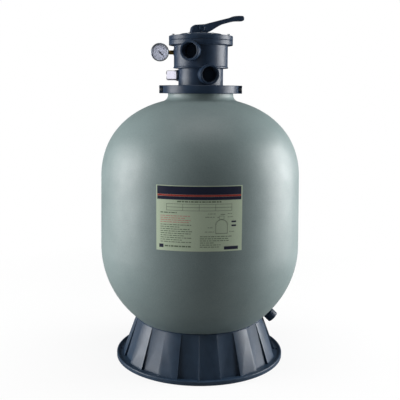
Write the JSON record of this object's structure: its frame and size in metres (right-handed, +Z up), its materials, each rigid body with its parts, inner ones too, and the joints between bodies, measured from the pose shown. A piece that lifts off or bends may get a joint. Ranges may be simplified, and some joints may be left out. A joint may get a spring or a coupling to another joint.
{
  "type": "sand filter tank",
  "caption": "Top-mount pool sand filter: moulded tank on a fluted stand, with a multiport valve, lever handle and pressure gauge clamped to its neck.",
  "frame": {"origin": "on the floor, below the middle of the tank", "axes": "+Z up along the tank axis, -Y to the front (label side), +X to the drain"},
  "size_m": [0.6134, 0.6134, 1.0526],
  "materials": {
    "tank": "grey, fine orange peel with a dark speckle",
    "stand": "dark blue-black moulded polypropylene, satin",
    "valve": "dark blue-black moulded ABS, glossy",
    "inner": "white PVC, satin",
    "rubber": "black moulded rubber",
    "stainless": "plain stainless steel",
    "gauge_steel": "satin pressed steel",
    "brass": "machined brass",
    "clear": "clear moulded acrylic",
    "label": null,
    "dial": "white enamel with plain tick marks",
    "position_plate": "plate with plain numbers",
    "pointer": "black paint"
  },
  "bodies": {
    "root": {"base_stand": "stand", "tank_shell": "tank", "tank_label": "label", "drain_spigot": "valve", "drain_spigot_gasket": "rubber", "drain_strainer": "inner", "lateral_hub": "inner", "standpipe": "inner", "standpipe_o_ring": "rubber", "top_diffuser": "inner", "tank_o_ring": "rubber", "clamp_front": "valve", "clamp_rear": "valve", "clamp_bolt_left": "stainless", "clamp_bolt_right": "stainless", "clamp_nut_left": "stainless", "clamp_nut_right": "stainless", "valve_body": "valve", "spider_gasket": "rubber", "cover_o_ring": "rubber", "valve_cover": "valve", "position_plate": "position_plate", "gauge_stem": "brass", "gauge_case": "gauge_steel", "gauge_bezel": "gauge_steel", "gauge_lens": "clear", "gauge_dial": "dial", "gauge_tube": "brass", "sight_glass": "clear", "sight_glass_gasket": "rubber", "cover_screw_1": "stainless", "cover_screw_2": "stainless", "cover_screw_3": "stainless", "cover_screw_4": "stainless", "cover_screw_5": "stainless", "cover_screw_6": "stainless", "cover_screw_7": "stainless", "cover_screw_8": "stainless"},
    "spring_carrier": {"rotor_spring": "stainless", "spring_washer": "stainless", "slip_washer": "inner"},
    "rotor": {"rotor": "valve", "shaft_o_ring_lower": "rubber", "shaft_o_ring_upper": "rubber", "handle_pin": "stainless"},
    "handle": {"handle": "valve"},
    "pointer": {"gauge_pointer": "pointer"},
    "drain_cap_slide": {"drain_cap_gasket": "rubber"},
    "drain_cap": {"drain_cap": "valve"},
    "lateral_1": {"lateral_1": "inner"},
    "lateral_2": {"lateral_2": "inner"},
    "lateral_3": {"lateral_3": "inner"},
    "lateral_4": {"lateral_4": "inner"},
    "lateral_5": {"lateral_5": "inner"},
    "lateral_6": {"lateral_6": "inner"},
    "lateral_7": {"lateral_7": "inner"},
    "lateral_8": {"lateral_8": "inner"}
  },
  "joints": [
    {"name": "valve_turn", "type": "hinge", "parent": "root", "child": "spring_carrier", "pos_m": [0, 0, 0.95], "axis": [0, 0, 1], "continuous": true},
    {"name": "rotor_lift", "type": "slide", "parent": "spring_carrier", "child": "rotor", "axis": [0, 0, 1], "range_m": [0, 0.0042], "stiffness_N_per_m": 200, "springref_m": -0.01, "deforming": ["rotor_spring"]},
    {"name": "handle_tilt", "type": "hinge", "parent": "rotor", "child": "handle", "pos_m": [0, 0, 1.014], "axis": [-0.2079, 0.9781, 0], "range_deg": [0, 20]},
    {"name": "gauge_needle_turn", "type": "hinge", "parent": "root", "child": "pointer", "pos_m": [-0.1225, 0, 0.943], "axis": [0, 1, 0], "range_deg": [0, 270], "stiffness_Nm_per_rad": 0.001, "springref_deg": -8.59},
    {"name": "drain_cap_travel", "type": "slide", "parent": "root", "child": "drain_cap_slide", "axis": [0.7071, 0, -0.7071], "range_m": [0, 0.0161]},
    {"name": "drain_cap_turn", "type": "hinge", "parent": "drain_cap_slide", "child": "drain_cap", "pos_m": [0.2097, 0, 0.14073], "axis": [0.7071, 0, -0.7071], "range_deg": [0, 1800]},
    {"name": "lateral_1_fold", "type": "hinge", "parent": "root", "child": "lateral_1", "pos_m": [0.01531, -0.03696, 0.15], "axis": [-0.9239, -0.3827, 0], "range_deg": [0, 85]},
    {"name": "lateral_2_fold", "type": "hinge", "parent": "root", "child": "lateral_2", "pos_m": [0.03696, -0.01531, 0.15], "axis": [-0.3827, -0.9239, 0], "range_deg": [0, 85]},
    {"name": "lateral_3_fold", "type": "hinge", "parent": "root", "child": "lateral_3", "pos_m": [0.03696, 0.01531, 0.15], "axis": [0.3827, -0.9239, 0], "range_deg": [0, 85]},
    {"name": "lateral_4_fold", "type": "hinge", "parent": "root", "child": "lateral_4", "pos_m": [0.01531, 0.03696, 0.15], "axis": [0.9239, -0.3827, 0], "range_deg": [0, 85]},
    {"name": "lateral_5_fold", "type": "hinge", "parent": "root", "child": "lateral_5", "pos_m": [-0.01531, 0.03696, 0.15], "axis": [0.9239, 0.3827, 0], "range_deg": [0, 85]},
    {"name": "lateral_6_fold", "type": "hinge", "parent": "root", "child": "lateral_6", "pos_m": [-0.03696, 0.01531, 0.15], "axis": [0.3827, 0.9239, 0], "range_deg": [0, 85]},
    {"name": "lateral_7_fold", "type": "hinge", "parent": "root", "child": "lateral_7", "pos_m": [-0.03696, -0.01531, 0.15], "axis": [-0.3827, 0.9239, 0], "range_deg": [0, 85]},
    {"name": "lateral_8_fold", "type": "hinge", "parent": "root", "child": "lateral_8", "pos_m": [-0.01531, -0.03696, 0.15], "axis": [-0.9239, 0.3827, 0], "range_deg": [0, 85]}
  ],
  "couplings": [
    {"joint": "rotor_lift", "follows": "handle_tilt", "m_per_rad": 0.012},
    {"joint": "drain_cap_travel", "follows": "drain_cap_turn", "m_per_rad": 0.000509},
    {"joint": "lateral_2_fold", "follows": "lateral_1_fold", "ratio": 1},
    {"joint": "lateral_3_fold", "follows": "lateral_1_fold", "ratio": 1},
    {"joint": "lateral_4_fold", "follows": "lateral_1_fold", "ratio": 1},
    {"joint": "lateral_5_fold", "follows": "lateral_1_fold", "ratio": 1},
    {"joint": "lateral_6_fold", "follows": "lateral_1_fold", "ratio": 1},
    {"joint": "lateral_7_fold", "follows": "lateral_1_fold", "ratio": 1},
    {"joint": "lateral_8_fold", "follows": "lateral_1_fold", "ratio": 1}
  ]
}
